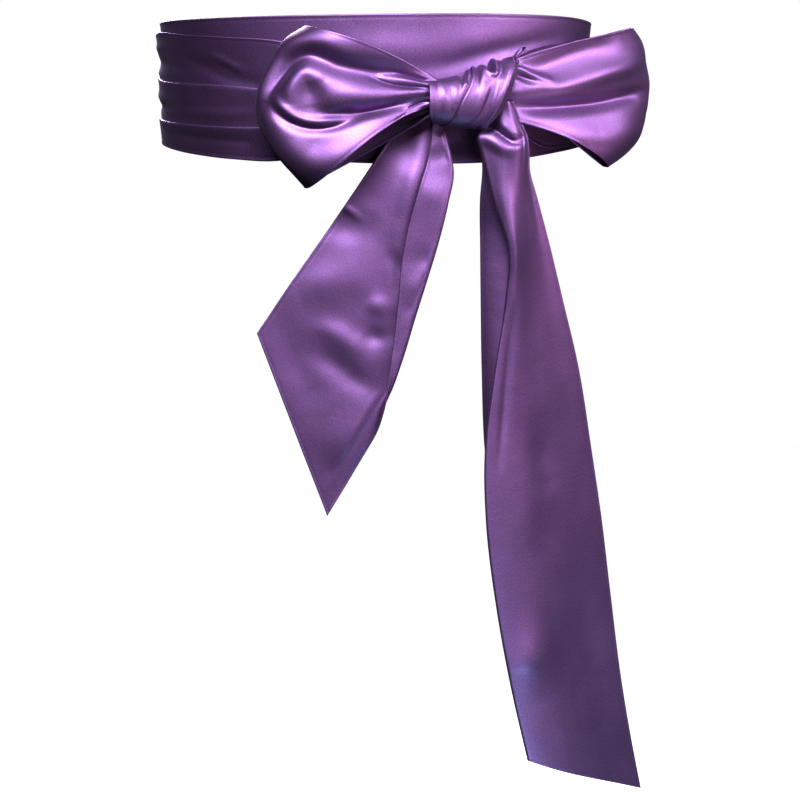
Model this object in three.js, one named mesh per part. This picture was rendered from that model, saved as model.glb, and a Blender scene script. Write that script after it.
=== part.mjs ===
// A satin sash, as it is worn: one long strip of double satin, wound twice round the waist and
// tied in a bow over the wearer's left hip. Millimetres, +Z up. The origin is the centre of the
// waist, at half the band's height, and the bow is on the -Y side.
import * as THREE from "three";

// Driving sizes. The strip is 100 wide, and the rest is measured against it.
const stripWidth = 100;
const clothWall = 1.4;
const clearance = 0.35;
const waist = { halfWidth: 146, halfDepth: 98 };
const knot = { x: 64, y: -111.5, z: -6, turn: 18 };

const satin = { color: 0x6d4390, roughness: 0.38, metalness: 0 };

// Tables are read between their rows as smooth curves, one for each column.

const radians = (degrees) => (degrees * Math.PI) / 180;
const mix = (from, to, share) => from + (to - from) * share;
const clamp = (value, low, high) => Math.min(high, Math.max(low, value));

// The slope of a curve at each of its points, from the slopes on either side.
function slopesOf(places, values) {
  const steps = places.slice(1).map((place, i) => (values[i + 1] - values[i]) / (place - places[i]));
  return places.map((place, i) => {
    if (i === 0) return steps[0];
    if (i === places.length - 1) return steps[i - 1];
    const before = places[i] - places[i - 1];
    const after = places[i + 1] - places[i];
    return (steps[i - 1] * after + steps[i] * before) / (before + after);
  });
}

function smoothCurve(places, values) {
  const slopes = slopesOf(places, values);
  return (place) => {
    const last = places.length - 2;
    let i = 0;
    while (i < last && place > places[i + 1]) i += 1;
    const span = places[i + 1] - places[i];
    const t = clamp((place - places[i]) / span, 0, 1);
    const rest = 1 - t;
    return (
      values[i] * (1 + 2 * t) * rest * rest +
      slopes[i] * span * t * rest * rest +
      values[i + 1] * t * t * (3 - 2 * t) -
      slopes[i + 1] * span * t * t * rest
    );
  };
}

// A reader for a table: give it a place on the key column, and it gives the other columns there.
function tableReader(rows, key) {
  const places = rows.map((row) => row[key]);
  const names = Object.keys(rows[0]).filter((name) => name !== key);
  const curves = names.map((name) => smoothCurve(places, rows.map((row) => row[name])));
  return (place) => Object.fromEntries(names.map((name, i) => [name, curves[i](place)]));
}

const evenly = (count, from = 0, to = 1) =>
  Array.from({ length: count + 1 }, (_, i) => mix(from, to, i / count));

// Walls of cloth

// A closed wall between two faces, each given as a function of a place along and a place across.
function wall(along, across, outer, inner, closed = false) {
  const columns = closed ? along.length - 1 : along.length;
  const points = [];
  for (let i = 0; i < columns; i += 1) {
    for (const w of across) points.push(...outer(along[i], w), ...inner(along[i], w));
  }
  const at = (i, j, side) => ((i % columns) * across.length + j) * 2 + side;
  const faces = [];
  const quad = (a, b, c, d) => faces.push(a, b, c, a, c, d);
  const steps = along.length - 1;
  const spans = across.length - 1;
  for (let i = 0; i < steps; i += 1) {
    for (let j = 0; j < spans; j += 1) {
      quad(at(i, j, 0), at(i + 1, j, 0), at(i + 1, j + 1, 0), at(i, j + 1, 0));
      quad(at(i, j, 1), at(i, j + 1, 1), at(i + 1, j + 1, 1), at(i + 1, j, 1));
    }
    quad(at(i, 0, 0), at(i, 0, 1), at(i + 1, 0, 1), at(i + 1, 0, 0));
    quad(at(i, spans, 0), at(i + 1, spans, 0), at(i + 1, spans, 1), at(i, spans, 1));
  }
  for (let j = 0; j < spans && !closed; j += 1) {
    quad(at(0, j, 0), at(0, j + 1, 0), at(0, j + 1, 1), at(0, j, 1));
    quad(at(steps, j, 0), at(steps, j, 1), at(steps, j + 1, 1), at(steps, j + 1, 0));
  }
  return facingOut(points, faces);
}

// The geometry of a closed surface, with its faces turned outwards.
function facingOut(points, faces) {
  const corner = (i) => new THREE.Vector3().fromArray(points, faces[i] * 3);
  let volume = 0;
  for (let i = 0; i < faces.length; i += 3) {
    volume += corner(i).dot(corner(i + 1).cross(corner(i + 2)));
  }
  if (volume < 0) {
    for (let i = 0; i < faces.length; i += 3) [faces[i], faces[i + 1]] = [faces[i + 1], faces[i]];
  }
  const geometry = new THREE.BufferGeometry();
  geometry.setAttribute("position", new THREE.Float32BufferAttribute(points, 3));
  geometry.setIndex(faces);
  geometry.computeVertexNormals();
  return geometry;
}

// The way out of a surface at a place on it, square to the surface there.
function normalOf(surface, u, v) {
  const nudge = 2e-3;
  const difference = (a, b) => new THREE.Vector3(...a).sub(new THREE.Vector3(...b));
  const [low, high] = [Math.max(v - nudge, 0), Math.min(v + nudge, 1)];
  const [start, end] = [Math.max(u - nudge, 0), Math.min(u + nudge, 1)];
  const lengthways = difference(surface(end, v), surface(start, v));
  const sideways = difference(surface(u, high), surface(u, low));
  return lengthways.cross(sideways).normalize();
}

// A wall over a surface, with its folds raised along the way out of the unfolded surface.
// The wall is made thicker where a fold is steep, so that it keeps its thickness there.
function foldedWall(along, across, surface, fold, thickness = clothWall) {
  const face = (side) => (u, v) => {
    const nudge = 4e-3;
    const here = new THREE.Vector3(...surface(u, v));
    const ahead = new THREE.Vector3(...surface(u, Math.min(v + nudge, 1)));
    const step = ahead.distanceTo(here) || 1;
    const steepness = (fold(u, Math.min(v + nudge, 1)) - fold(u, v)) / step;
    const half = (thickness / 2) * Math.min(Math.hypot(1, steepness), 1.8);
    return here.addScaledVector(normalOf(surface, u, v), fold(u, v) + side * half).toArray();
  };
  return wall(along, across, face(1), face(-1));
}

// How near a place is to a path of points: 1 on the path, and 0 some way off it.
function nearPath(x, y, path, wide) {
  let nearest = Infinity;
  for (let i = 0; i + 1 < path.length; i += 1) {
    const [from, to] = [path[i], path[i + 1]];
    const [dx, dy] = [to.x - from.x, to.y - from.y];
    const share = clamp(((x - from.x) * dx + (y - from.y) * dy) / (dx * dx + dy * dy), 0, 1);
    nearest = Math.min(nearest, Math.hypot(x - from.x - share * dx, y - from.y - share * dy));
  }
  return Math.exp(-((nearest / wide) ** 2));
}

// The two turns round the waist

// A point past the waist's outline: turn is the angle from the front towards +X.
function roundWaist(turn, out, height) {
  const angle = radians(turn);
  return [
    Math.sin(angle) * (waist.halfWidth + out),
    -Math.cos(angle) * (waist.halfDepth + out),
    height,
  ];
}

const turnRows = [
  { turn: 0, top: 47, bottom: -50.6, flare: 0 },
  { turn: 30, top: 47.4, bottom: -50.4, flare: 0.4 },
  { turn: 60, top: 45.8, bottom: -44, flare: 1.5 },
  { turn: 90, top: 41.5, bottom: -38.5, flare: 2 },
  { turn: 180, top: 41, bottom: -36, flare: 1.5 },
  { turn: 270, top: 42, bottom: -37, flare: 2.6 },
  { turn: 310, top: 44.5, bottom: -38, flare: 1.5 },
  { turn: 335, top: 46, bottom: -47.6, flare: 0.6 },
  { turn: 360, top: 47, bottom: -50.6, flare: 0 },
];
const turnEdges = tableReader(turnRows, "turn");
const turnWall = 1.5;
const turnSteps = 52;

// The inner turn, which lies on the waist, leans out a little at its top edge and shows above and
// below the knot.
function innerTurn() {
  const hollow = (share) => 1.1 * Math.sin(Math.PI * share);
  const face = (out) => (turn, share) => {
    const { top, bottom, flare } = turnEdges(turn % 360);
    return roundWaist(turn, out - hollow(share) + flare * share ** 3, mix(bottom, top, share));
  };
  return wall(evenly(turnSteps, 0, 360), evenly(5), face(turnWall), face(0), true);
}

// The outer turn's edges and the rims of its three tiers, from the knot round the back to the knot.
// Lean is how far each tier stands out at its rim, and rise how far the turn's two ends come away
// from the waist to run into the knot.
const tierRows = [
  { turn: 30, top: 12, rimHigh: 3, rimLow: -6, bottom: -14, lean: 0.8, rise: 5.6 },
  { turn: 38, top: 20, rimHigh: 5, rimLow: -11, bottom: -27, lean: 1.2, rise: 2.4 },
  { turn: 48, top: 27, rimHigh: 6, rimLow: -18, bottom: -40, lean: 1.2, rise: 0.2 },
  { turn: 62, top: 28.5, rimHigh: 4, rimLow: -22, bottom: -41, lean: 1.2, rise: 0 },
  { turn: 90, top: 28, rimHigh: 2, rimLow: -24, bottom: -39.5, lean: 1.6, rise: 0 },
  { turn: 135, top: 29, rimHigh: 2, rimLow: -24, bottom: -38, lean: 2.2, rise: 0 },
  { turn: 180, top: 30, rimHigh: 2, rimLow: -25, bottom: -38, lean: 2.6, rise: 0 },
  { turn: 225, top: 31.5, rimHigh: 0, rimLow: -28, bottom: -39, lean: 2.2, rise: 0 },
  { turn: 270, top: 33.5, rimHigh: -1.5, rimLow: -29.5, bottom: -39.5, lean: 1.6, rise: 0 },
  { turn: 290, top: 34.5, rimHigh: -2, rimLow: -30.5, bottom: -42.5, lean: 2.4, rise: 0 },
  { turn: 305, top: 34, rimHigh: -2.5, rimLow: -31.5, bottom: -46, lean: 3.4, rise: 0 },
  { turn: 320, top: 32.5, rimHigh: -3, rimLow: -31.5, bottom: -48.5, lean: 3.4, rise: 0 },
  { turn: 335, top: 30, rimHigh: -4, rimLow: -29, bottom: -49, lean: 2.8, rise: 0 },
  { turn: 350, top: 20, rimHigh: -6, rimLow: -24, bottom: -40, lean: 1.6, rise: 0 },
  { turn: 362, top: 8, rimHigh: -7, rimLow: -18, bottom: -30, lean: 1.0, rise: 0.9 },
  { turn: 376, top: 1, rimHigh: -8, rimLow: -15, bottom: -22, lean: 0.8, rise: 4.2 },
];
const tiersAt = tableReader(tierRows, "turn");
const rimStep = 0.9;
const turnGap = 0.6;
const tierShares = [0, 0.45, 0.8, 1];

// The outer turn: three tiers, each leaning out to the rim of its pleat, with the next tucked behind.
function outerTurn() {
  const across = [0, 1, 2].flatMap((tier) => tierShares.map((share) => ({ tier, share })));
  const place = (turn, { tier, share }) => {
    const row = tiersAt(turn);
    const edges = [row.bottom, row.rimLow, row.rimHigh, row.top];
    const low = edges[tier] + (tier > 0 ? rimStep : 0);
    const height = mix(low, edges[tier + 1], share);
    const { top, bottom, flare } = turnEdges(turn % 360);
    const flared = flare * clamp((height - bottom) / (top - bottom), 0, 1) ** 3;
    const under = turnWall + turnGap + flared + row.rise;
    return { height, under, lean: row.lean * share ** 1.4 };
  };
  const outer = (turn, at) => {
    const { height, under, lean } = place(turn, at);
    return roundWaist(turn, under + clothWall + lean, height);
  };
  const inner = (turn, at) => {
    const { height, under, lean } = place(turn, at);
    return roundWaist(turn, under + Math.max(0, lean - clothWall * 0.8), height);
  };
  return wall(evenly(52, 30, 376), across, outer, inner);
}

// The knot

// A point in the knot's own frame: along its axis to the wearer's left, out from the waist, and up.
function fromKnot(along, out, up) {
  const turn = radians(knot.turn);
  return [
    knot.x + along * Math.cos(turn) + out * Math.sin(turn),
    knot.y + along * Math.sin(turn) - out * Math.cos(turn),
    knot.z + up,
  ];
}

const knotRows = [
  { along: -31, rise: -3.2, tall: 16.5, deep: 14 },
  { along: -18, rise: -4, tall: 18, deep: 15.5 },
  { along: -5, rise: -3, tall: 20.5, deep: 17 },
  { along: 8, rise: 0, tall: 23, deep: 17.5 },
  { along: 20, rise: 3.5, tall: 22.5, deep: 17 },
  { along: 32, rise: 6.5, tall: 19, deep: 15 },
];
const knotAt = tableReader(knotRows, "along");
const wrapDepth = 4.2;
const coreEnd = 19;

// A point round the knot: 0 degrees is the top, 90 the front. Out is measured past the core.
function roundKnot(along, degrees, out) {
  const { rise, tall, deep } = knotAt(along);
  const angle = radians(degrees);
  const [high, thick] = [tall - wrapDepth + out, deep - wrapDepth + out];
  return fromKnot(along, thick * Math.sin(angle), rise + high * Math.cos(angle));
}

// The cloth bundled inside the knot, hidden by the strips that pass over it.
function knotCore() {
  const sides = 20;
  const stations = evenly(8, -coreEnd, coreEnd);
  const points = stations.flatMap((along) =>
    evenly(sides - 1, 0, 360 - 360 / sides).flatMap((degrees) => roundKnot(along, degrees, 0)),
  );
  for (const along of [-coreEnd, coreEnd]) points.push(...fromKnot(along, 0, knotAt(along).rise));
  const faces = [];
  const caps = stations.length * sides;
  for (let i = 0; i < sides; i += 1) {
    const next = (i + 1) % sides;
    for (let j = 0; j < stations.length - 1; j += 1) {
      const [a, b] = [j * sides, (j + 1) * sides];
      faces.push(a + i, a + next, b + next, a + i, b + next, b + i);
    }
    const end = (stations.length - 1) * sides;
    faces.push(caps, next, i, caps + 1, end + i, end + next);
  }
  return facingOut(points, faces);
}

// The strips over the knot, from the bow's left to its right: where each one's two rims lie, top to
// bottom. Lift raises the left rim over the strip before it.
const knotStrips = {
  knot_sleeve: {
    lift: 0.2,
    swell: 0.6,
    rows: [
      { degrees: -48, left: -28, right: 2 },
      { degrees: 20, left: -30, right: 3 },
      { degrees: 90, left: -31, right: 1 },
      { degrees: 150, left: -29, right: -7 },
      { degrees: 192, left: -26, right: -12 },
    ],
  },
  knot_cross: {
    lift: 2.2,
    swell: 1.2,
    rows: [
      { degrees: -48, left: -1, right: 20 },
      { degrees: 20, left: 0, right: 21 },
      { degrees: 60, left: 1.5, right: 20 },
      { degrees: 90, left: -2, right: 17 },
      { degrees: 120, left: -6, right: 12 },
      { degrees: 150, left: -12, right: 7 },
      { degrees: 192, left: -18, right: 3 },
    ],
  },
  knot_fold: {
    lift: 2.4,
    swell: 1.4,
    rows: [
      { degrees: -48, left: 19, right: 31 },
      { degrees: 20, left: 19, right: 32 },
      { degrees: 60, left: 17.5, right: 29 },
      { degrees: 90, left: 14.5, right: 26 },
      { degrees: 120, left: 9, right: 21.5 },
      { degrees: 150, left: 4, right: 16 },
      { degrees: 192, left: -1, right: 10 },
    ],
  },
};

function knotStrip({ lift, swell, rows }) {
  const rims = tableReader(rows, "degrees");
  const degrees = evenly(18, rows[0].degrees, rows.at(-1).degrees);
  const face = (side) => (angle, share) => {
    const { left, right } = rims(angle);
    const raised = lift * (1 - share) ** 2 + swell * Math.sin(Math.PI * share);
    const out = clearance + raised + (side > 0 ? clothWall : 0);
    return roundKnot(mix(left, right, share), angle, out);
  };
  return wall(degrees, evenly(5), face(1), face(-1));
}

// The loops of the bow

// Each loop is the strip going out from the knot, round and back behind itself. Its lines run along
// the strip: across is 0 at the lower selvage and 1 at the upper, reach is how far out the line
// turns back, turnZ is its height there, frontZ and backZ where its two ends enter the knot, and
// frontBow and backBow how far it bows on its way. Lean back is the slope towards the waist.
// A fold is a path over the front, out from the knot in shares of the reach: x is that share,
// y the place across, and high is how far the cloth rises there.
const loops = {
  loop_left: {
    side: -1,
    leanBack: 0.27,
    puff: { front: 27, back: 10, root: 3.6 },
    gather: { waves: 2, high: 1.2, length: 34 },
    lines: [
      { across: 0, reach: 87, turnZ: -66, frontZ: -16.5, backZ: -17, frontBow: -0.3, backBow: 0.3 },
      { across: 0.25, reach: 108, turnZ: -40, frontZ: -14.5, backZ: -15, frontBow: -0.15, backBow: 0.2 },
      { across: 0.42, reach: 117, turnZ: -22, frontZ: -11.5, backZ: -12, frontBow: 0, backBow: 0.1 },
      { across: 0.58, reach: 117, turnZ: -5, frontZ: -8.5, backZ: -9, frontBow: 0.1, backBow: 0 },
      { across: 0.78, reach: 108, turnZ: 16, frontZ: -6, backZ: -6, frontBow: 0.25, backBow: 0 },
      { across: 0.92, reach: 98.5, turnZ: 31.5, frontZ: -5, backZ: -5.4, frontBow: 0.36, backBow: 0 },
      { across: 1, reach: 87, turnZ: 39, frontZ: -4.8, backZ: -5.2, frontBow: 0.38, backBow: 0 },
    ],
    folds: [
      { high: -4.5, wide: 8, path: [{ x: 0.97, y: 0.55 }, { x: 0.87, y: 0.8 }, { x: 0.7, y: 0.93 }, { x: 0.3, y: 0.84 }] },
      { high: 3.5, wide: 8, path: [{ x: 0.88, y: 0.5 }, { x: 0.75, y: 0.84 }, { x: 0.57, y: 0.77 }, { x: 0.2, y: 0.62 }] },
      { high: -5.5, wide: 10, path: [{ x: 0.74, y: 0.68 }, { x: 0.66, y: 0.46 }, { x: 0.3, y: 0.47 }] },
      { high: -4, wide: 7, path: [{ x: 0.9, y: 0.38 }, { x: 0.75, y: 0.29 }, { x: 0.62, y: 0.24 }, { x: 0.4, y: 0.3 }] },
      { high: 4, wide: 10, path: [{ x: 0.92, y: 0.26 }, { x: 0.66, y: 0.12 }, { x: 0.3, y: 0.12 }] },
    ],
  },
  loop_right: {
    side: 1,
    leanBack: 0.325,
    puff: { front: 22, back: 9, root: 4 },
    gather: { waves: 2, high: 1.2, length: 30 },
    lines: [
      { across: 0, reach: 85, turnZ: -54.5, frontZ: -10.5, backZ: -9.5, frontBow: -0.5, backBow: -0.5 },
      { across: 0.2, reach: 107.5, turnZ: -37, frontZ: -7, backZ: -6.5, frontBow: -0.3, backBow: -0.1 },
      { across: 0.4, reach: 117, turnZ: -17, frontZ: -2, backZ: -2, frontBow: -0.1, backBow: 0 },
      { across: 0.58, reach: 121, turnZ: 0.5, frontZ: 2.5, backZ: 2, frontBow: 0.1, backBow: 0 },
      { across: 0.75, reach: 117.5, turnZ: 16.5, frontZ: 6.5, backZ: 6, frontBow: 0.2, backBow: 0.1 },
      { across: 0.92, reach: 113, turnZ: 31.5, frontZ: 8, backZ: 6.8, frontBow: 0.35, backBow: 0.2 },
      { across: 1, reach: 107, turnZ: 38.5, frontZ: 9.8, backZ: 8.2, frontBow: 0.35, backBow: 0.2 },
    ],
    folds: [
      { high: -5, wide: 7, path: [{ x: 0.04, y: 0.2 }, { x: 0.25, y: 0.3 }, { x: 0.45, y: 0.42 }, { x: 0.94, y: 0.58 }] },
      { high: 3, wide: 9, path: [{ x: 0.06, y: 0.55 }, { x: 0.35, y: 0.66 }, { x: 0.8, y: 0.84 }] },
      { high: 4, wide: 9, path: [{ x: 0.2, y: 0.12 }, { x: 0.5, y: 0.22 }, { x: 0.78, y: 0.3 }] },
      { high: -3.5, wide: 6, path: [{ x: 0.06, y: 0.8 }, { x: 0.3, y: 0.84 }] },
    ],
  },
};
const loopStart = 20.5;

// Near the knot the two layers close on each other at the selvages, into a round bundle.
const bundled = (across, away) => 1 - 0.72 * (2 * across - 1) ** 2 * Math.exp(-away / 22);

function loopSurface({ side, leanBack, puff, lines }) {
  const lineAt = tableReader(lines, "across");
  return (u, v) => {
    const line = lineAt(v);
    const angle = 2 * Math.PI * u;
    const out = (1 - Math.cos(angle)) / 2;
    const isFront = u < 0.5;
    const puffing = isFront ? puff.front : puff.back;
    const teardrop = puffing * Math.sin(angle) * Math.sin(angle / 2) ** 1.5;
    const away = line.reach * out;
    const forward = teardrop + puff.root * Math.cos(Math.PI * u);
    const bow = isFront ? line.frontBow : line.backBow;
    const spread = out * (1 + bow * (1 - out));
    const drift = leanBack * away * (1 - Math.exp(-away / 14));
    const height = mix(isFront ? line.frontZ : line.backZ, line.turnZ, spread);
    return fromKnot(side * (loopStart + away), forward * bundled(v, away) - drift, height - knot.z);
  };
}

function loop(spec) {
  const surface = loopSurface(spec);
  const { side, gather, folds } = spec;
  const reach = spec.lines[3].reach;
  // Folds are measured in millimetres along the strip and across it, where it has fanned out.
  const scaled = ({ x, y }) => ({ x: x * reach, y: y * stripWidth * mix(0.35, 1, x) });
  const paths = folds.map(({ high, wide, path }) => ({ high, wide, path: path.map(scaled) }));
  const fold = (u, v) => {
    const out = (1 - Math.cos(2 * Math.PI * u)) / 2;
    const fade = Math.exp(-(((out * reach) / gather.length) ** 2)) * bundled(v, out * reach);
    const waves = gather.high * fade * Math.cos(2 * Math.PI * gather.waves * (v + 0.06));
    const here = scaled({ x: out, y: v });
    const front = clamp((0.5 - u) / 0.06, 0, 1) * clamp(out / 0.1, 0, 1);
    const creases = paths.reduce((sum, { high, wide, path }) => {
      return sum + high * nearPath(here.x, here.y, path, wide);
    }, 0);
    return side * (waves + front * creases);
  };
  return foldedWall(evenly(26), evenly(18), surface, fold);
}

// The tails

// The short tail. Along is the distance down its left selvage, x and z where that selvage is, lean
// the slope of the strip, and y its depth. Its right edge is folded over to the front: main is the
// width of the back layer, flap that of the front one, turn how far it is folded. Pleat is the rise
// of the ridge beside the flap.
const shortRows = [
  { along: 0, x: 25, z: -11, lean: 24, main: 19, flap: 4, turn: 176, pleat: 0.5, y: -104.15 },
  { along: 12, x: 18, z: -22, lean: 25, main: 31, flap: 9, turn: 176, pleat: 2, y: -104.5 },
  { along: 26, x: 10.3, z: -34, lean: 27, main: 44.5, flap: 16, turn: 177, pleat: 4.5, y: -105 },
  { along: 45, x: 0.8, z: -48.4, lean: 30, main: 53, flap: 19, turn: 178, pleat: 5, y: -108 },
  { along: 72, x: -14.3, z: -71, lean: 31, main: 63, flap: 20, turn: 178, pleat: 3.5, y: -109 },
  { along: 96, x: -28, z: -91, lean: 31, main: 70.5, flap: 17, turn: 178, pleat: 2, y: -110 },
  { along: 119, x: -41, z: -109.6, lean: 31, main: 77.5, flap: 11.5, turn: 178, pleat: 1, y: -111 },
  { along: 152, x: -60, z: -136.7, lean: 31, main: 88, flap: 5, turn: 172, pleat: 0.5, y: -112 },
  { along: 170, x: -70, z: -151.7, lean: 31.3, main: 92, flap: 2, turn: 140, pleat: 0, y: -112.5 },
  { along: 184, x: -77.8, z: -163.2, lean: 31.5, main: 92.5, flap: 1.5, turn: 70, pleat: 0, y: -113 },
  { along: 198, x: -85, z: -175.3, lean: 31.7, main: 93, flap: 2, turn: 14, pleat: 0, y: -113.4 },
  { along: 263, x: -119.2, z: -231, lean: 31.5, main: 94, flap: 2, turn: 3, pleat: 0, y: -114 },
];
const shortAt = tableReader(shortRows, "along");
const shortCut = { left: 184, right: 263 };
const shortShares = { main: 0.68, bend: 0.86 };
const bendArc = 6.5;

// A strip laid flat as far as main, bent over an arc through the turn, and flat again past it.
function foldedOver(across, main, turn) {
  if (across <= main) return [across, 0];
  const bend = radians(turn) / bendArc;
  const angle = bend * Math.min(across - main, bendArc);
  const rest = Math.max(0, across - main - bendArc);
  return [
    main + Math.sin(angle) / bend + rest * Math.cos(angle),
    (1 - Math.cos(angle)) / bend + rest * Math.sin(angle),
  ];
}

function shortTailSurface(u, v) {
  const total = (row) => row.main + bendArc + row.flap;
  const acrossAt = (row) => {
    if (v < shortShares.main) return (row.main * v) / shortShares.main;
    const bent = (v - shortShares.main) / (shortShares.bend - shortShares.main);
    if (bent < 1) return row.main + bendArc * bent;
    return row.main + bendArc + (row.flap * (v - shortShares.bend)) / (1 - shortShares.bend);
  };
  // The cut slants across the strip, so the place across decides how far down a line ends.
  const lowest = shortAt(mix(shortCut.left, shortCut.right, v));
  const end = mix(shortCut.left, shortCut.right, acrossAt(lowest) / total(lowest));
  const row = shortAt(u * end);
  const across = acrossAt(row);
  const selvage = row.main - row.flap;
  const ridge = Math.exp(-(((across - selvage + 9) / 7) ** 2));
  const valley = Math.exp(-(((across - selvage) / 5) ** 2));
  const pleat = row.pleat * (ridge - 0.6 * valley) * clamp((row.main - across) / 6, 0, 1);
  const [sideways, forward] = foldedOver(across, row.main, row.turn);
  const lean = radians(row.lean);
  return [
    row.x + sideways * Math.cos(lean),
    row.y - forward - pleat,
    row.z - sideways * Math.sin(lean),
  ];
}

// The long tail, by its level sections, down from the knot. Edge is its left selvage, tuck where it
// turns forward under the strip in front, rim and side that strip's two sides, and right the other
// selvage. Low down the selvage lies hidden behind the rim. Bend is the radius of the pleat's turns,
// crown how far the front strip rounds out, and back how far the right selvage lies behind the left.
const longRows = [
  { down: 18, edge: 79, tuck: 87.5, rim: 80, side: 91.5, right: 94, bend: 1.2, crown: 0.4, y: -93.3, back: 1 },
  { down: 25, edge: 75, tuck: 89, rim: 76, side: 94, right: 97, bend: 1.2, crown: 1, y: -95.5, back: 1 },
  { down: 32, edge: 71, tuck: 92, rim: 68, side: 98.5, right: 100.5, bend: 2, crown: 2.5, y: -99, back: 1 },
  { down: 41, edge: 71, tuck: 94, rim: 70, side: 99.5, right: 102, bend: 2.2, crown: 2.5, y: -102, back: 2 },
  { down: 54.7, edge: 71.8, tuck: 96, rim: 73.5, side: 99, right: 102.5, bend: 2.1, crown: 2, y: -103, back: 4 },
  { down: 74.7, edge: 70.5, tuck: 97, rim: 78.5, side: 98.5, right: 108, bend: 1.9, crown: 1.6, y: -104, back: 9 },
  { down: 106.7, edge: 70.8, tuck: 99, rim: 88.5, side: 98, right: 116.8, bend: 1.7, crown: 1, y: -105, back: 18 },
  { down: 141.4, edge: 71.2, tuck: 97, rim: 87, side: 97, right: 125.5, bend: 1.5, crown: 0.6, y: -106, back: 26 },
  { down: 189.4, edge: 72, tuck: 94, rim: 80, side: 98, right: 137.2, bend: 1.3, crown: 0.6, y: -108, back: 35 },
  { down: 246.8, edge: 74.5, tuck: 91, rim: 73.5, side: 98, right: 146.8, bend: 1.2, crown: 0.6, y: -110, back: 42 },
  { down: 292, edge: 81, tuck: 93, rim: 74.7, side: 100, right: 153.8, bend: 1.4, crown: 0.6, y: -112, back: 46 },
  { down: 347.5, edge: 91, tuck: 99, rim: 81.6, side: 108, right: 160.9, bend: 1.5, crown: 0.6, y: -114, back: 50 },
  { down: 408.2, edge: 103, tuck: 109, rim: 93, side: 120, right: 169, bend: 1.6, crown: 0.6, y: -116, back: 53 },
  { down: 446, edge: 111.5, tuck: 117, rim: 101.8, side: 129, right: 175.5, bend: 1.6, crown: 0.6, y: -117.5, back: 54 },
  { down: 483, edge: 120, tuck: 125, rim: 110.5, side: 138, right: 182.8, bend: 1.6, crown: 0.6, y: -119, back: 55 },
];
const longAt = tableReader(longRows, "down");
const longCut = { top: 18, left: 449.6, right: 482.9 };

// Half a turn of a section, from a point on it, round to the right (1) or the left (-1).
function halfTurn([x, rise], bend, side) {
  return [45, 90, 135, 180].map((angle) => [
    x + side * bend * Math.sin(radians(angle)),
    rise + bend * (1 - Math.cos(radians(angle))),
  ]);
}

// The pleat's section, each point a place across and a rise in front of the cloth's back layer.
function pleatPoints({ edge, tuck, rim, side, right, bend, crown }) {
  const high = bend * 4;
  const backEnd = [tuck - bend, 0];
  const underEnd = [rim + bend, bend * 2];
  const frontEnd = side - bend;
  const frontPlaces = [rim + bend, mix(rim, side, 0.5), frontEnd, mix(side, right, 0.34), mix(side, right, 0.67), right];
  const frontRise = smoothCurve(frontPlaces, [high, high + crown, high, high * 0.5, high * 0.1, 0]);
  const frontAcross = [...evenly(4, rim + bend, frontEnd).slice(1), ...evenly(7, frontEnd, right).slice(1)];
  return [
    [edge, 0],
    [mix(edge, backEnd[0], 0.5), 0],
    backEnd,
    ...halfTurn(backEnd, bend, 1),
    [mix(backEnd[0], underEnd[0], 0.5), bend * 2],
    underEnd,
    ...halfTurn(underEnd, bend, -1),
    ...frontAcross.map((x) => [x, frontRise(x)]),
  ];
}
const longColumns = pleatPoints(longRows[0]).length - 1;

function longSection(down, v) {
  const row = longAt(down);
  const points = pleatPoints(row);
  const step = v * longColumns;
  const i = Math.min(Math.floor(step), longColumns - 1);
  const [x, rise] = [0, 1].map((axis) => mix(points[i][axis], points[i + 1][axis], step - i));
  const left = Math.min(row.edge, row.rim);
  const share = clamp((x - left) / (row.right - left), 0, 1);
  return { x, y: row.y + row.back * share ** 1.35 - rise, share };
}

function longTailSurface(u, v) {
  // The cut slants across the strip, so the place across decides how far down a line ends.
  const { share } = longSection(longCut.left, v);
  const down = mix(longCut.top, mix(longCut.left, longCut.right, share), u);
  const { x, y } = longSection(down, v);
  return [x, y, -down];
}

const noFold = () => 0;

// The model

const pieces = {
  inner_turn: innerTurn(),
  outer_turn: outerTurn(),
  knot_core: knotCore(),
  ...Object.fromEntries(Object.entries(knotStrips).map(([name, spec]) => [name, knotStrip(spec)])),
  ...Object.fromEntries(Object.entries(loops).map(([name, spec]) => [name, loop(spec)])),
  tail_short: foldedWall(evenly(20), evenly(20), shortTailSurface, noFold),
  tail_long: foldedWall(evenly(26), evenly(longColumns), longTailSurface, noFold),
};

const sash = new THREE.Group();
for (const [name, geometry] of Object.entries(pieces)) {
  const mesh = new THREE.Mesh(geometry, new THREE.MeshStandardMaterial(satin));
  mesh.name = name;
  sash.add(mesh);
}

export default sash;
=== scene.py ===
import math
import bpy
import numpy as np
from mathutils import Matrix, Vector


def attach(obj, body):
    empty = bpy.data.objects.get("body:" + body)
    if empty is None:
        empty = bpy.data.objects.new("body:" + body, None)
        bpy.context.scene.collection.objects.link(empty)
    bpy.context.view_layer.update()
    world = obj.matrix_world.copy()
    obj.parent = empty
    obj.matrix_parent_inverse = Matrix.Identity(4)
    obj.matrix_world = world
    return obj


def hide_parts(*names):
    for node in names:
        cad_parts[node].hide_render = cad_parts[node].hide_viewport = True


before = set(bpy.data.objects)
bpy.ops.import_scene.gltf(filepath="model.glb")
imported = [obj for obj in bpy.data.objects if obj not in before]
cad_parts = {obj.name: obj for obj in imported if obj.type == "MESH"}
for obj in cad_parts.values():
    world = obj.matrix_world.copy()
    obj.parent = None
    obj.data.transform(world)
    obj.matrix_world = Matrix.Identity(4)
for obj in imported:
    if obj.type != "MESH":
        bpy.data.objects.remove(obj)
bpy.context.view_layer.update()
print("frame loaded:", len(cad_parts), "nodes")

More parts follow.
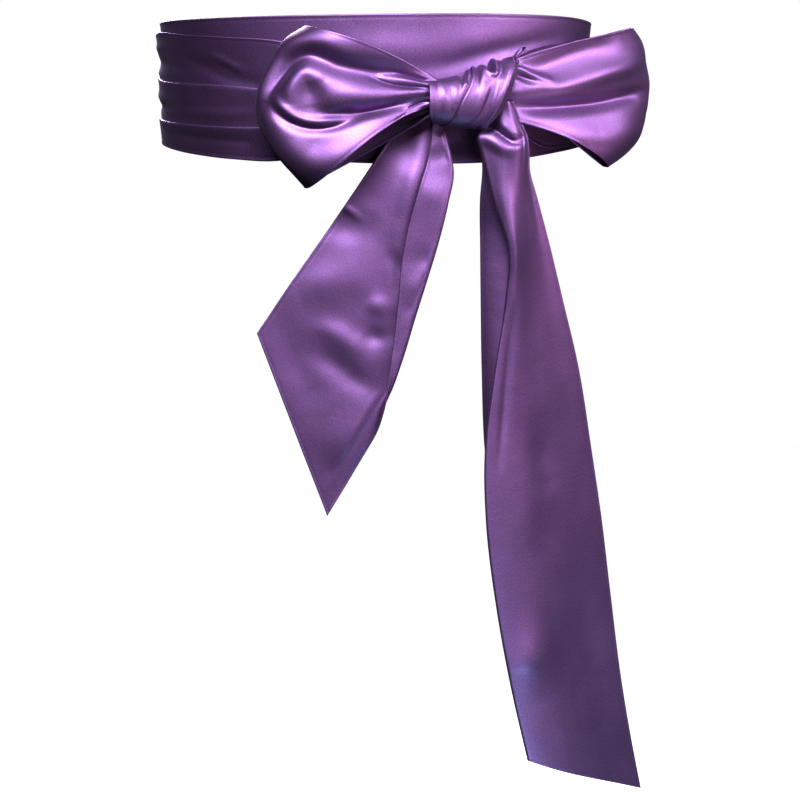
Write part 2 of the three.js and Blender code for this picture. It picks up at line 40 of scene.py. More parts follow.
# Sizes are in millimetres, as in the part's source, and a mesh is made in metres at the end.
# The sash is one long strip of double satin, 100 wide, tied in a bow right of the middle.
stripWidth = 100
clothThickness = 0.9
waist = {"halfWidth": 146, "halfDepth": 98}
knot = {"x": 64, "y": -111.5, "z": -6, "turn": 18, "wrapDepth": 4.2}


# Puts new data into the scene as an object at the origin.
def placed(name, data):
    made = bpy.data.objects.new(name, data)
    bpy.context.scene.collection.objects.link(made)
    return made


# Smooth curves and tables

def mix(low, high, share):
    return low + (high - low) * share


def smoothStep(low, high, value):
    t = np.clip((value - low) / (high - low), 0, 1)
    return t * t * (3 - 2 * t)


def bump(distance, wide):
    return np.exp(-((distance / wide) ** 2))


# A smooth curve through values at places. Each place and value may be a row of numbers.
def smoothThrough(places, values, at):
    steps = [(values[i + 1] - values[i]) / (places[i + 1] - places[i]) for i in range(len(places) - 1)]
    slopes = [steps[0]]
    for i in range(1, len(steps)):
        before = places[i] - places[i - 1]
        after = places[i + 1] - places[i]
        slopes.append((steps[i - 1] * after + steps[i] * before) / (before + after))
    slopes.append(steps[-1])
    result = values[0] + 0 * at
    for i in range(len(steps)):
        span = places[i + 1] - places[i]
        t = np.clip((at - places[i]) / span, 0, 1)
        rest = 1 - t
        piece = (values[i] * (1 + 2 * t) * rest * rest + slopes[i] * span * t * rest * rest
                 + values[i + 1] * t * t * (3 - 2 * t) - slopes[i + 1] * span * t * t * rest)
        result = np.where(at >= places[i], piece, result)
    return result


# A table is read between its rows as smooth curves, one for each column. The first column is the key.
def tableReader(names, rows):
    names = names.split()
    columns = [[float(row[i]) for row in rows] for i in range(len(names))]

    def read(place):
        place = np.asarray(place, float)
        values = (smoothThrough(columns[0], column, place) for column in columns[1:])
        return dict(zip(names[1:], values))

    return read


def points(x, y, z):
    return np.stack(np.broadcast_arrays(x, y, z), axis=-1).astype(float)


def unit(vectors):
    return vectors / np.maximum(np.linalg.norm(vectors, axis=-1, keepdims=True), 1e-9)


# Places across a strip, with more of them beside its selvages.
def placesAcross(count, width, low=True, high=True):
    near = np.array([0, 0.35, 0.75, 1.2, 1.7, 2.2, 2.8, 3.6]) / width
    middle = np.linspace(near[-1] if low else 0, 1 - near[-1] if high else 1, count)
    places = [near[:-1] if low else [], middle, (1 - near[:-1])[::-1] if high else []]
    return np.concatenate(places)


# Creases are soft ridges and valleys along paths. A path is a list of (place, place, height).
def creaseRise(x, y, creases):
    rise = np.zeros(np.broadcast(x, y).shape)
    for wide, path in creases:
        path = np.array(path, float)
        steps = np.linspace(0, len(path) - 1, 8 * (len(path) - 1) + 1)
        line = [smoothThrough(list(range(len(path))), list(path[:, k]), steps) for k in range(3)]
        nearest = np.full(rise.shape, 1e9)
        height = np.zeros(rise.shape)
        for i in range(len(steps) - 1):
            dx, dy = line[0][i + 1] - line[0][i], line[1][i + 1] - line[1][i]
            share = np.clip(((x - line[0][i]) * dx + (y - line[1][i]) * dy) / (dx * dx + dy * dy), 0, 1)
            off = np.hypot(x - line[0][i] - share * dx, y - line[1][i] - share * dy)
            closer = off < nearest
            nearest = np.where(closer, off, nearest)
            height = np.where(closer, mix(line[2][i], line[2][i + 1], share), height)
        rise = rise + height * bump(nearest, wide)
    return rise


# The same creases where the first place is an angle, turned to millimetres along the cloth.
def alongTurn(creases, perDegree):
    return [(wide, [(turn * perDegree, place, high) for turn, place, high in path]) for wide, path in creases]


# Cloth shells

seam = {"bead": 0.18, "beadWide": 0.75, "groove": 0.2, "grooveAt": 1.9, "grooveWide": 0.6, "threadRise": 0.03}


def directionsOf(grid, closed):
    along = np.gradient(grid, axis=0)
    if closed:
        ahead = np.roll(grid[:-1], -1, axis=0)
        along[:-1] = ahead - np.roll(grid[:-1], 1, axis=0)
        along[-1] = along[0]
    across = np.gradient(grid, axis=1)
    return unit(np.cross(along, across))


# How far each point of a grid is from one of its edges, measured on the cloth.
def fromEdge(grid, axis, atEnd):
    if atEnd:
        grid = np.flip(grid, axis)
    steps = np.linalg.norm(np.diff(grid, axis=axis), axis=2)
    start = np.zeros_like(np.take(steps, [0], axis=axis))
    run = np.concatenate([start, np.cumsum(steps, axis=axis)], axis=axis)
    return np.flip(run, axis) if atEnd else run


# Two more rows past an edge round it off as a turned seam is rounded. Each has how far out it lies and how
# thick it is, both in half thicknesses.
edgeRounding = [(0.7, 0.72), (1, 0.04)]


def roundedOff(grid, normals, half, axis, atEnd):
    index = -1 if atEnd else 0
    inner = -2 if atEnd else 1
    edge, within = np.take(grid, index, axis), np.take(grid, inner, axis)
    outwards = unit(edge - within)
    side = np.take(normals, index, axis)
    width = np.take(half, index, axis)
    layers = [grid, normals, half]
    for shift, share in edgeRounding:
        extras = [edge + outwards * (width * shift)[:, None], side, width * share]
        for k, extra in enumerate(extras):
            row = np.expand_dims(extra, axis)
            layers[k] = np.concatenate([layers[k], row] if atEnd else [row, layers[k]], axis=axis)
    return layers


# Each edge of a grid: the axis that leads to it, and whether it is that axis's end.
edges = {"low": (1, False), "high": (1, True), "start": (0, False), "end": (0, True)}
stitchLines = {}


# The line along a seam's groove, and the cloth's direction there. It stops short of the seams it meets.
def grooveLine(grid, normals, edgeName, seams):
    axis, atEnd = edges[edgeName]
    met = [fromEdge(grid, *edges[other]) for other in seams if edges[other][0] != axis]
    layers = [grid, normals] + [run[:, :, None] for run in (fromEdge(grid, axis, atEnd), *met)]
    if atEnd:
        layers = [np.flip(layer, axis) for layer in layers]
    if axis == 0:
        layers = [np.swapaxes(layer, 0, 1) for layer in layers]
    run = layers[2][:, :, 0]
    line = np.arange(len(run))
    index = np.clip((run < seam["grooveAt"]).sum(axis=1), 1, run.shape[1] - 1)
    before, after = run[line, index - 1], run[line, index]
    share = np.clip((seam["grooveAt"] - before) / (after - before), 0, 1)[:, None]
    place, side, _, *others = [mix(layer[line, index - 1], layer[line, index], share) for layer in layers]
    kept = np.all([other[:, 0] > seam["grooveAt"] for other in others] or [line >= 0], axis=0)
    return place[kept], unit(side[kept])


# Makes a closed shell of cloth round a grid of points, with a turned seam along the edges named in seams.
def clothShell(name, grid, seams=("low", "high"), closed=False, thickness=clothThickness, stitched=True):
    normals = directionsOf(grid, closed)
    half = np.full(grid.shape[:2], thickness / 2)
    for edgeName in seams:
        if stitched:
            place, side = grooveLine(grid, normals, edgeName, seams)
            rise = side * (thickness / 2 * (1 - seam["groove"]) + seam["threadRise"])
            stitchLines.setdefault(name, []).extend([place + rise, place - rise])
        run = fromEdge(grid, *edges[edgeName])
        welt = seam["bead"] * bump(run, seam["beadWide"])
        groove = seam["groove"] * bump(run - seam["grooveAt"], seam["grooveWide"])
        half = half * (1 + welt - groove)
    for edgeName, (axis, atEnd) in edges.items():
        if not (closed and axis == 0):
            grid, normals, half = roundedOff(grid, normals, half, axis, atEnd)
    if closed:
        grid, normals, half = grid[:-1], normals[:-1], half[:-1]
    rows, columns = half.shape
    offset = normals * half[:, :, None]
    corners = np.concatenate([(grid + offset).reshape(-1, 3), (grid - offset).reshape(-1, 3)])
    numbers = np.arange(rows * columns).reshape(rows, columns)
    ring = np.concatenate([numbers, numbers[:1]]) if closed else numbers
    back = rows * columns
    here, ahead = ring[:-1], ring[1:]
    outer = np.stack([here[:, :-1], ahead[:, :-1], ahead[:, 1:], here[:, 1:]], -1).reshape(-1, 4)
    faces = [outer, outer[:, ::-1] + back]
    rims = [(here[:, 0], ahead[:, 0], False), (here[:, -1], ahead[:, -1], True)]
    if not closed:
        rims += [(ring[0, :-1], ring[0, 1:], True), (ring[-1, :-1], ring[-1, 1:], False)]
    for near, far, turned in rims:
        strip = np.stack([near, near + back, far + back, far], -1)
        faces.append(strip[:, ::-1] if turned else strip)
    alongRun = fromEdge(grid, 0, False)[:, columns // 2, None]
    weave = np.stack(np.broadcast_arrays(alongRun, fromEdge(grid, 1, False)), -1).reshape(-1, 2)
    return meshPiece(name, corners / 1000, np.concatenate(faces), np.concatenate([weave, weave]) / 1000)


def meshPiece(name, corners, faces, weave):
    a, b, c, d = (corners[faces[:, k]] for k in range(4))
    volume = np.einsum("ij,ij->i", a, np.cross(b, c) + np.cross(c, d)).sum()
    if volume < 0:
        faces = faces[:, ::-1]
    mesh = bpy.data.meshes.new(name)
    mesh.from_pydata(corners.tolist(), [], faces.tolist())
    layer = mesh.uv_layers.new(name="weave")
    layer.data.foreach_set("uv", weave[faces.ravel()].astype(np.float32).ravel())
    mesh.shade_smooth()
    mesh.update()
    return placed(name, mesh)


# The two turns round the waist

def roundWaist(turn, out, height):
    angle = np.radians(turn)
    across = np.sin(angle) * (waist["halfWidth"] + out)
    depth = -np.cos(angle) * (waist["halfDepth"] + out)
    return points(across, depth, height)


innerTurnSizes = {
    "wall": 1.5,
    "hollow": 1.1,
    "edges": tableReader("turn top bottom flare", [
        (0, 47, -50.6, 0), (30, 47.4, -50.4, 0.4), (60, 45.8, -44, 1.5), (90, 41.5, -38.5, 2),
        (180, 41, -36, 1.5), (270, 42, -37, 2.6), (310, 44.5, -38, 1.5), (335, 46, -47.6, 0.6),
        (360, 47, -50.6, 0),
    ]),
    # Creases are (degrees round the waist, height, rise). A turn past 360 is the front again.
    "creases": [
        (6, [(366, 12, 0), (378, 13, -1.2), (386, 18, -1.8), (397, 24, -1.8), (412, 30, -1), (422, 33, 0)]),
        (10, [(345, 22, 0), (360, 24, 1), (376, 26, 1), (390, 34, 0.4)]),
    ],
    "perDegree": 2.1,
}


def makeInnerTurn():
    sizes = innerTurnSizes
    turn = np.linspace(0, 360, 361)[:, None]
    share = placesAcross(36, 90)[None, :]
    edges = sizes["edges"](turn)
    height = mix(edges["bottom"], edges["top"], share)
    out = sizes["wall"] / 2 - sizes["hollow"] * np.sin(np.pi * share) + edges["flare"] * share ** 3
    creases = alongTurn(sizes["creases"], sizes["perDegree"])
    soft = sum(creaseRise((turn + ahead) * sizes["perDegree"], height, creases) for ahead in (0, 360))
    grid = roundWaist(turn, out + soft, height)
    return clothShell("innerTurn", grid, closed=True)


outerTurnSizes = {
    "gap": 0.6,
    "rollRadius": 0.55,
    "tuckDepth": 5,
    "perDegree": 2.1,
    "rows": tableReader("turn top rimHigh rimLow bottom lean rise", [
        (30, 12, 3, -6, -14, 0.8, 5.6), (38, 20, 5, -11, -27, 1.2, 2.4), (48, 27, 6, -18, -40, 1.2, 0.2),
        (62, 28.5, 4, -22, -41, 1.2, 0), (90, 28, 2, -24, -39.5, 1.6, 0), (135, 29, 2, -24, -38, 2.2, 0),
        (180, 30, 2, -25, -38, 2.6, 0), (225, 31.5, 2, -25, -39, 2.2, 0),
        (270, 33.5, 5.5, -22.5, -39.5, 1.6, 0), (285, 36, 2.5, -24.5, -42, 2.2, 0),
        (305, 34, 1, -26.5, -46, 3.4, 0), (320, 32.5, 0, -27.5, -48.5, 3.4, 0),
        (335, 30, -3, -27, -49, 2.8, 0), (350, 20, -6, -24, -40, 1.6, 0), (362, 8, -7, -18, -30, 1, 0.9),
        (376, 1, -8, -15, -22, 0.8, 4.2),
    ]),
    # Creases are (degrees round the waist, height, rise).
    "creases": [
        (3.5, [(248, 20, 0), (268, 16, -1.1), (290, 14, -0.9), (312, 8, 0)]),
        (2.6, [(250, 9, 0), (270, 8, 1.1), (285, 6, 0.6), (300, 4, 0)]),
        (2.5, [(255, 26, 0), (271, 25, 0.9), (288, 26, 0.5), (300, 24, 0)]),
        (3, [(255, -5, 0), (270, -7, 1.2), (292, -10, 0.6), (312, -10, 0)]),
        (2.2, [(258, -14, 0), (270, -14, -1.3), (286, -15, -0.6), (300, -13, 0)]),
        (1.6, [(312, 20, 0), (315.7, 18.5, 0.8), (320.7, 13.2, 0.9), (323.7, 10.5, 0.3)]),
        (1.8, [(310, 16, 0), (316, 13.5, -0.9), (322, 8, -0.6)]),
        (4, [(294, 22, 0), (306, 16, -0.9), (318, 6, -1.2), (328, 2, -0.6)]),
        (3, [(285, -14, 0), (300, -18, 0.7), (318, -19, 0.7), (330, -17, 0)]),
        (3, [(280, -30, 0), (300, -34, -0.6), (325, -37, -0.6)]),
        (3, [(60, 14, 0), (80, 12, 0.8), (110, 14, 0.8), (140, 12, 0)]),
        (3, [(70, -12, 0), (100, -10, 0.8), (130, -13, 0.6), (160, -12, 0)]),
        (3.5, [(170, 14, 0), (200, 16, 0.8), (230, 12, 0.6), (246, 14, 0)]),
        (3, [(165, -10, 0), (190, -13, 0.8), (215, -11, 0.6), (240, -12, 0)]),
    ],
}


def makeOuterTurn():
    sizes = outerTurnSizes
    turn = np.linspace(30, 376, 330)
    row = sizes["rows"](turn)
    edges = innerTurnSizes["edges"](turn % 360)
    depth = edges["top"] - edges["bottom"]

    def under(height):
        flared = edges["flare"] * np.clip((height - edges["bottom"]) / depth, 0, 1) ** 3
        return innerTurnSizes["wall"] + sizes["gap"] + flared + row["rise"] + clothThickness / 2

    radius = sizes["rollRadius"]
    tuck = sizes["tuckDepth"] * np.clip((row["lean"] - 0.7) / 0.6, 0.1, 1)
    columns = []
    low = row["bottom"]
    for tier, rimName in enumerate(("rimLow", "rimHigh", "top")):
        rim = row[rimName]
        top = tier == 2
        for share in placesAcross(16 if top else 14, 30, low=tier == 0, high=top):
            height = mix(low, rim - radius, share)
            columns.append((height, under(height) + row["lean"] * share ** 1.4))
        if top:
            break
        front = under(rim) + row["lean"]
        for angle in (30, 60, 90, 120, 150, 180):
            rolled = math.radians(angle)
            height = rim - radius + radius * math.sin(rolled)
            columns.append((height, front - radius * (1 - math.cos(rolled))))
        behind, base = front - 2 * radius, under(rim - tuck)
        lowTurn = np.maximum(behind - base, 0.3) / 2
        for share in (0.33, 0.66, 1):
            columns.append((mix(rim - radius, rim - tuck, share), mix(behind, base + 2 * lowTurn, share)))
        for angle in (45, 90, 135, 180):
            rolled = math.radians(angle)
            height = rim - tuck - lowTurn * math.sin(rolled)
            columns.append((height, base + lowTurn * (1 + math.cos(rolled))))
        low = rim - tuck
    high = np.stack([height for height, _ in columns], axis=1)
    out = np.stack([out for _, out in columns], axis=1)
    creases = alongTurn(sizes["creases"], sizes["perDegree"])
    soft = creaseRise(turn[:, None] * sizes["perDegree"], high, creases)
    grid = roundWaist(turn[:, None], out + soft, high)
    return clothShell("outerTurn", grid)


# The knot

def fromKnot(along, out, up):
    turn = math.radians(knot["turn"])
    x = knot["x"] + along * math.cos(turn) + out * math.sin(turn)
    y = knot["y"] + along * math.sin(turn) - out * math.cos(turn)
    return points(x, y, knot["z"] + up)


knotSizes = tableReader("along rise tall deep", [
    (-31, -3.2, 16.5, 14), (-18, -4, 18, 15.5), (-5, -3, 20.5, 17), (8, 0, 23, 17.5), (20, 3.5, 22.5, 17),
    (32, 6.5, 19, 15),
])


# The strips wrap over the core between these angles. A degree is about 0.3 along a strip.
wraps = {"from": -48, "to": 192, "rows": 150, "columns": 52, "width": 26, "perDegree": 0.3, "clearance": 0.35}


# A point round the knot: 0 degrees is the top, 90 the front. Out is measured past the core.
def roundKnot(along, degrees, out):
    size = knotSizes(along)
    angle = np.radians(degrees)
    high = size["tall"] - knot["wrapDepth"] + out
    thick = size["deep"] - knot["wrapDepth"] + out
    return fromKnot(along, thick * np.sin(angle), size["rise"] + high * np.cos(angle))


coreSizes = {
    "end": 19, "shrink": 3, "pleats": 9, "pleatDepth": 0.5, "twist": 3.5, "squareness": 8, "narrowest": 0.02,
}


def makeKnotCore():
    sizes = coreSizes
    along = np.linspace(-1, 1, 61)[:, None]
    degrees = np.linspace(0, 360, 145)[None, :]
    pleat = sizes["pleatDepth"] * np.cos(np.radians(degrees * sizes["pleats"]) + along * sizes["twist"])
    grid = roundKnot(along * sizes["end"], degrees, pleat - sizes["shrink"] - clothThickness)
    # The ends close in, as cloth does where it is drawn together.
    centre = fromKnot(along * sizes["end"], 0, knotSizes(along * sizes["end"])["rise"])
    middle = np.broadcast_to(centre, grid.shape)
    drawn = np.sqrt(np.clip(1 - np.abs(along) ** sizes["squareness"], 0, 1))[:, :, None]
    grid = middle + (grid - middle) * np.maximum(drawn, sizes["narrowest"])
    rows, columns = grid.shape[0], grid.shape[1] - 1
    corners = grid[:, :-1].reshape(-1, 3)
    numbers = np.arange(rows * columns).reshape(rows, columns)
    ring = np.concatenate([numbers, numbers[:, :1]], axis=1)
    sides = np.stack([ring[:-1, :-1], ring[1:, :-1], ring[1:, 1:], ring[:-1, 1:]], -1).reshape(-1, 4)
    ends = []
    for row, turned in ((0, False), (-1, True)):
        loop = numbers[row]
        half = columns // 2
        cap = np.stack([loop[:half - 1], loop[1:half], loop[::-1][:half][1:], loop[::-1][:half - 1]], -1)
        ends.append(cap[:, ::-1] if turned else cap)
    faces = np.concatenate([sides, *ends])
    weave = np.stack(np.broadcast_arrays(along * sizes["end"], degrees * wraps["perDegree"]), -1)
    weave = weave[:, :-1].reshape(-1, 2)
    return meshPiece("knotCore", corners / 1000, faces, weave / 1000)


# Each strip over the knot: its rims along the knot at angles round it, how far it is lifted and
# swells, and its creases, as (degrees, place along the knot, height).
knotStrips = {
    "knotSleeve": {
        "lift": 0.2,
        "swell": 0.6,
        "rims": tableReader("degrees left right", [
            (-48, -28, 4), (-7, -30, 3), (36, -31.5, 0), (62, -32, -3), (90, -32.4, -8),
            (125, -32, -11.5), (150, -30, -13), (192, -26, -18),
        ]),
        "creases": [
            (2.1, [(-40, -6.5, -3), (-4, -6.6, -4.5), (18, -7, -4.5), (34, -7.8, -3.5), (50, -8.8, 0)]),
            (1.4, [(-40, -1.5, 1), (14, -3.6, 1.8), (36, -6.2, 1.8), (52, -8.6, 1.4), (72, -11.6, 0.6),
                   (95, -14.5, 0)]),
            (1.8, [(-20, -26, -0.3), (30, -26.5, -0.7), (70, -27, -0.5), (120, -27, 0)]),
            (1.3, [(50, -22.5, 0), (75, -22.8, 0.5), (110, -23, 0.2)]),
            (1.3, [(50, -18, 0), (75, -18.6, -0.5), (110, -19, -0.2)]),
            (1.5, [(45, -14, 0), (70, -14.8, 0.5), (105, -16.5, 0.3)]),
        ],
    },
    "knotCross": {
        "lift": 1.3,
        "swell": 1.4,
        "rims": tableReader("degrees left right", [
            (-48, 1.6, 19), (-7, 1, 19), (14, -0.8, 18.5), (36, -2.5, 17.5), (62, -6.2, 16.5),
            (76, -9, 15), (94, -12, 13.5), (125, -15, 11.5), (150, -17.5, 9), (192, -22, 4),
        ]),
        "creases": [
            (0.9, [(-48, 2.2, 0.9), (14, 0, 0.9), (36, -1.7, 0.9), (62, -5.3, 0.8), (94, -11, 0.6),
                   (125, -14, 0.4)]),
            (1.9, [(-30, 4.6, -1), (0, 4.2, -2.2), (37, 1.6, -2), (60, -0.6, -1), (78, -3, 0)]),
            (2.5, [(-48, 11, -5), (-4, 10.4, -6), (20, 10, -6), (34, 10.4, -4.5), (44, 11, -2),
                   (50, 11.4, 0)]),
            (1.2, [(-30, 14.4, 1.2), (0, 14.2, 1.6), (24, 14.2, 1.8), (42, 13.8, 1.8), (53, 12.2, 1.6),
                   (50, 9.6, 1.4), (38, 7.6, 1.2), (18, 6.8, 0.8)]),
            (3, [(60, 5, 0), (80, 3.4, 1), (105, 0, 1), (135, -5, 0.5)]),
            (1.6, [(70, 9.5, 0), (92, 6, -0.8), (115, 2, -0.8), (145, -4, 0)]),
        ],
    },
    "knotFold": {
        "lift": 0.6,
        "swell": 1.6,
        "rims": tableReader("degrees left right", [
            (-48, 16, 30), (-7, 15.4, 31), (20, 14.8, 31), (40, 14.2, 28.8), (60, 13.4, 26.6),
            (80, 11.5, 24.2), (98, 9.2, 21.8), (110, 8.2, 19.6), (126, 6, 17), (150, 2.5, 13), (192, -2, 8),
        ]),
        "creases": [
            (3.2, [(-30, 28, 0.6), (10, 28.4, 1.8), (40, 26, 2), (62, 22.4, 2.2), (80, 18.6, 2.2),
                   (98, 14.6, 2), (115, 11.4, 1.6), (150, 6, 0.8)]),
            (2.6, [(-40, 20.5, -1.5), (0, 20, -2.2), (30, 18.4, -2), (52, 16.2, -1.2), (66, 14.4, 0)]),
        ],
    },
}


def makeKnotStrip(name, sizes):
    degrees = np.linspace(wraps["from"], wraps["to"], wraps["rows"])[:, None]
    share = placesAcross(wraps["columns"], wraps["width"])[None, :]
    rims = sizes["rims"](degrees)
    along = mix(rims["left"], rims["right"], share)
    raised = sizes["lift"] * (1 - share) ** 2 + sizes["swell"] * np.sin(np.pi * share)
    creases = alongTurn(sizes["creases"], wraps["perDegree"])
    creased = creaseRise(degrees * wraps["perDegree"], along, creases)
    out = wraps["clearance"] + clothThickness / 2 + raised + creased
    return clothShell(name, roundKnot(along, degrees, out), stitched=False)


# The end of the last wrap's fold, curled over on itself above the knot. Its path is a list of (x, z).
curlSizes = {
    "path": [(92.6, 15.6), (91.3, 18.2), (92.3, 21.0), (94.8, 23.8), (97.6, 25.8), (99.4, 25.9), (98.6, 23.8),
             (96.4, 21.4), (94.2, 19.4), (93.4, 17.6), (93.7, 15.8)],
    "front": -111.2,
    "back": -105.8,
    "open": 0.3,
}


def makeKnotCurl():
    sizes = curlSizes
    places = list(range(len(sizes["path"])))
    steps = np.linspace(0, places[-1], 81)[:, None]
    x, z = (smoothThrough(places, [place[k] for place in sizes["path"]], steps) for k in (0, 1))
    share = np.linspace(0, 1, 12)[None, :]
    wider = 1 - sizes["open"] * share
    x = mix(x.mean(), x, wider)
    z = mix(z.mean(), z, mix(1, wider, 0.4))
    grid = points(x, mix(sizes["front"], sizes["back"], share), z)
    return clothShell("knotCurl", grid, thickness=0.7, stitched=False)


# The bow's loops. The table's lines run along the strip: across is 0 at the lower selvage and 1 at
# the upper, reach how far out the line turns back, turnZ its height there, frontZ and backZ where its
# ends enter the knot, frontBow and backBow how far it bows. Creases are (x, z, height) on the front.
loops = {
    "loopLeft": {
        "side": -1,
        "start": 20.5,
        "leanBack": 0.27,
        "puff": {"front": 27, "back": 10, "root": 3.6},
        "gathers": {"waves": 5, "high": 0.5, "length": 16},
        "lines": tableReader("across reach turnZ frontZ backZ frontBow backBow", [
            (0, 87, -66, -10, -14, -0.75, 0.15), (0.25, 108, -40, -7.5, -12.5, -0.35, 0.1),
            (0.42, 117, -22, -5, -9, -0.1, 0), (0.58, 117, -5, -2.5, -6, 0.05, 0),
            (0.78, 108, 16, 0, -3.5, 0.2, 0), (0.92, 98.5, 31.5, 1.5, -2, 0.3, 0),
            (1, 87, 39, 2.2, -1.5, 0.32, 0),
        ]),
        "creases": [
            (7, [(-71, -8.8, -2), (-68.3, 0.3, -5), (-61.8, 10.1, -7), (-53.9, 17.9, -7),
                 (-44.1, 21.1, -7), (-34.3, 18.5, -7), (-23.8, 14, -7), (-13.4, 11.4, -6.5),
                 (-0.3, 8.8, -6), (12.8, 7.5, -5), (24.5, 5.5, -2.5)]),
            (6.5, [(-55.3, -11.4, 1), (-54.6, -2.3, 2), (-51.3, 4.5, 2.2), (-46, 8.4, 2), (-39.1, 7, 1.5),
                   (-32.6, 3.1, 0.5)]),
            (8, [(-42.5, 4.2, -1.5), (-40.5, -3.6, -2.4), (-39.3, -11.4, -1.6)]),
            (8.5, [(-35, -3.6, 1.2), (-24.8, -5.5, 2.4), (-11.7, -6.2, 3.5), (3.6, -5.5, 3.6),
                   (18.7, -4.9, 2.8), (31.1, -4.9, 1.2)]),
            (4, [(-34.4, -17.3, -1), (-23.9, -17.9, -4), (-12.8, -16.6, -6), (3, -14.6, -6),
                 (14.7, -12, -5), (25.9, -9.4, -3.5), (33.7, -8.1, -1)]),
            (3, [(-65.1, -6.8, 0.8), (-61.2, -12, 1.4), (-54, -17.9, 1.8), (-45.5, -21.8, 1.8),
                 (-35.7, -23.1, 1.8), (-24.6, -21.2, 1.4), (-14.7, -17.3, 0)]),
            (3.2, [(-69.1, -10.7, 0), (-61.2, -18.6, -2), (-53.4, -23.8, -2.8), (-42.3, -27, -2.9),
                   (-29.2, -26.4, -2.9), (-16.1, -22.5, -2.5), (-2.9, -17.3, -1)]),
            (13, [(-73.7, -14, 0), (-66.5, -29.6, 4), (-54.1, -42.7, 6.5), (-39.7, -50.6, 7),
                  (-21.3, -46.6, 6.5), (-1.7, -34.9, 5), (15.4, -22.5, 3), (27.2, -14, 1.5)]),
            (1.5, [(-3.6, 6.8, 0), (3.6, 3.6, -1.8), (12.1, 1, -2.4), (21.9, -0.3, -2.4), (32.4, -0.3, -1)]),
            (1.3, [(12.1, 10.1, 0), (21.9, 7.5, -1.8), (33.1, 4.2, -1.5)]),
            (2.2, [(6.9, 6.2, 1), (16.7, 4.9, 2), (26.5, 2.9, 2), (33.7, 1, 1)]),
            (1.6, [(15.4, -17.3, 0), (23.2, -14, -1.4), (29.8, -10.7, -1.6), (33.7, -9.4, -1)]),
            (1.5, [(5.6, -27, 0), (16.7, -19.9, -1.3), (26.5, -13.3, -1.4), (33.1, -10.7, -1)]),
        ],
    },
    "loopRight": {
        "side": 1,
        "start": 20.5,
        "leanBack": 0.325,
        "puff": {"front": 22, "back": 9, "root": 4},
        "gathers": {"waves": 4, "high": 0.5, "length": 14},
        "lines": tableReader("across reach turnZ frontZ backZ frontBow backBow", [
            (0, 85, -54.5, -20.5, -9.5, -0.5, -0.5), (0.2, 107.5, -37, -13.5, -6.5, -0.35, -0.1),
            (0.4, 117, -17, -5, -2, -0.1, 0), (0.58, 121, 0.5, 2, 2, 0.1, 0),
            (0.75, 117.5, 16.5, 8, 6, 0.2, 0.1), (0.92, 113, 31.5, 13.2, 6.8, 0.36, 0.2),
            (1, 107, 38.5, 15.3, 8.2, 0.38, 0.2),
        ]),
        "creases": [
            (8, [(102.4, 12, -2), (113.9, 13.9, -3.5), (136.5, 22.5, -3.5), (153.8, 26.5, -2.5),
                 (165.6, 30.5, -1)]),
            (3, [(91.6, 8.1, -1.5), (96.3, 6.8, -3), (102.4, 4.1, -2), (109.2, 1.5, 0)]),
            (2.4, [(91.6, 11.4, 1.5), (97, 10.7, 2.2), (103.8, 7.4, 2.2), (114.7, 4.1, 1)]),
            (7, [(95.7, 0.2, 1), (109.2, -0.5, 3.5), (120.1, -1.2, 4.5), (133.9, 2, 4.5),
                 (152.5, 7.9, 4.5), (170, 13.2, 3), (178.4, 21.2, 1)]),
            (5, [(90.4, -14.1, -3), (107.9, -14.3, -5.5), (131.2, -13.2, -6.5), (150.6, -11.4, -6),
                 (170.2, -7.5, -4.5), (178.6, -4.9, -2)]),
            (12, [(94.4, -23.4, 1), (112.8, -30.2, 3), (131.3, -34.4, 4.5), (150.8, -34.7, 5),
                  (170.3, -27, 4.5), (182.3, -17.7, 2)]),
            (11, [(138, -46, 0), (150, -47, 2), (160, -43, 3), (170, -35, 2), (178, -26, 0)]),
        ],
    },
}


loopShape = {"rows": 205, "columns": 140, "bundle": 0.72, "bundleLength": 22, "leanLength": 14, "taper": 1.5,
             "gatherShift": 0.06}


# Near the knot the two layers close on each other at the selvages, into a round bundle.
def bundled(across, away):
    return 1 - loopShape["bundle"] * (2 * across - 1) ** 2 * np.exp(-away / loopShape["bundleLength"])


def makeLoop(name, sizes):
    shape = loopShape
    u = np.linspace(0, 1, shape["rows"])[:, None]
    v = placesAcross(shape["columns"], stripWidth)[None, :]
    line = sizes["lines"](v)
    puff = sizes["puff"]
    angle = 2 * np.pi * u
    out = (1 - np.cos(angle)) / 2
    front = smoothStep(0.56, 0.44, u)
    away = line["reach"] * out
    swelling = mix(puff["back"], puff["front"], front)
    teardrop = swelling * np.sin(angle) * np.abs(np.sin(angle / 2)) ** shape["taper"]
    forward = teardrop + puff["root"] * np.cos(np.pi * u)
    spread = out * (1 + mix(line["backBow"], line["frontBow"], front) * (1 - out))
    drift = sizes["leanBack"] * away * (1 - np.exp(-away / shape["leanLength"]))
    height = mix(mix(line["backZ"], line["frontZ"], front), line["turnZ"], spread)
    ahead = forward * bundled(v, away) - drift
    grid = fromKnot(sizes["side"] * (sizes["start"] + away), ahead, height - knot["z"])
    outwards = directionsOf(grid, False) * sizes["side"]
    gathers = sizes["gathers"]
    fade = np.exp(-((away / gathers["length"]) ** 2)) * bundled(v, away)
    rise = gathers["high"] * fade * np.cos(2 * np.pi * gathers["waves"] * (v + shape["gatherShift"]))
    shown = smoothStep(0.5, 0.44, u) * smoothStep(0, 0.06, out)
    rise = rise + shown * creaseRise(grid[:, :, 0], grid[:, :, 2], sizes["creases"])
    return clothShell(name, grid + outwards * rise[:, :, None])


# The tails

